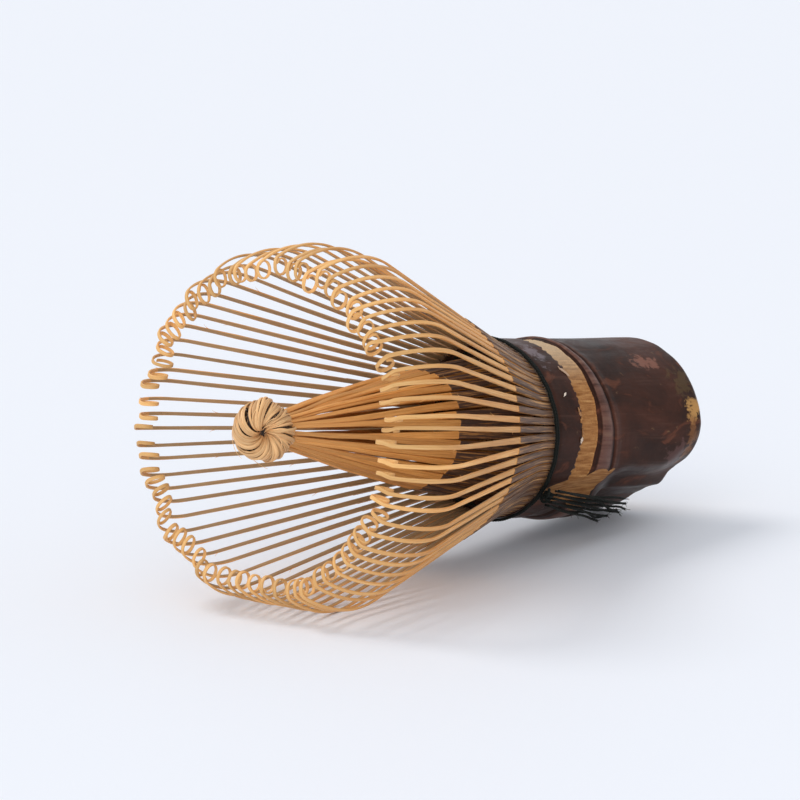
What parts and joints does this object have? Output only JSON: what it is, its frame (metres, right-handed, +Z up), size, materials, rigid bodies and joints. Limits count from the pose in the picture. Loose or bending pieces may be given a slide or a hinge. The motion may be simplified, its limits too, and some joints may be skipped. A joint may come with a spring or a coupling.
{
  "type": "bamboo tea whisk",
  "caption": "Bamboo tea whisk lying on its side: dark culm handle, thread binding, flared ring of curled outer tines around a knotted inner cone.",
  "frame": {"origin": "on the table, at the centre of the whisk's bounding box bottom, with the whisk lying on its side", "axes": "+Z up; -X towards the open mouth, +X towards the end of the handle; the whisk's own axis lies in the XZ plane and rises 8.97 degrees towards the mouth"},
  "size_m": [0.0938, 0.0538, 0.0526],
  "materials": {
    "tine_bamboo": "split and shaved bamboo, satin, golden straw, dark skin left at the roots",
    "inner_bamboo": "split inner bamboo, satin, orange brown",
    "handle_bamboo": "smooth dark mottled bamboo skin, semi-gloss, with a shaved tan ring",
    "thread": "twisted black cotton thread, matt"
  },
  "bodies": {
    "root": {"handle_culm": "handle_bamboo", "outer_split_01": "tine_bamboo", "outer_split_02": "tine_bamboo", "outer_split_03": "tine_bamboo", "outer_split_04": "tine_bamboo", "outer_split_05": "tine_bamboo", "outer_split_06": "tine_bamboo", "outer_split_07": "tine_bamboo", "outer_split_08": "tine_bamboo", "outer_split_09": "tine_bamboo", "outer_split_10": "tine_bamboo", "outer_split_11": "tine_bamboo", "outer_split_12": "tine_bamboo", "outer_split_13": "tine_bamboo", "outer_split_14": "tine_bamboo", "outer_split_15": "tine_bamboo", "outer_split_16": "tine_bamboo", "outer_split_17": "tine_bamboo", "outer_split_18": "tine_bamboo", "outer_split_19": "tine_bamboo", "outer_split_20": "tine_bamboo", "outer_split_21": "tine_bamboo", "outer_split_22": "tine_bamboo", "outer_split_23": "tine_bamboo", "outer_split_24": "tine_bamboo", "inner_split_01": "inner_bamboo", "inner_split_02": "inner_bamboo", "inner_split_03": "inner_bamboo", "inner_split_04": "inner_bamboo", "inner_split_05": "inner_bamboo", "inner_split_06": "inner_bamboo", "inner_split_07": "inner_bamboo", "inner_split_08": "inner_bamboo", "inner_split_09": "inner_bamboo", "inner_split_10": "inner_bamboo", "inner_split_11": "inner_bamboo", "inner_split_12": "inner_bamboo", "inner_knot": "inner_bamboo", "thread_wrap": "thread", "thread_weave": "thread", "thread_knot": "thread", "thread_tail_1": "thread", "thread_tail_2": "thread", "thread_tail_3": "thread", "thread_tail_4": "thread", "thread_tail_5": "thread"}
  },
  "joints": []
}
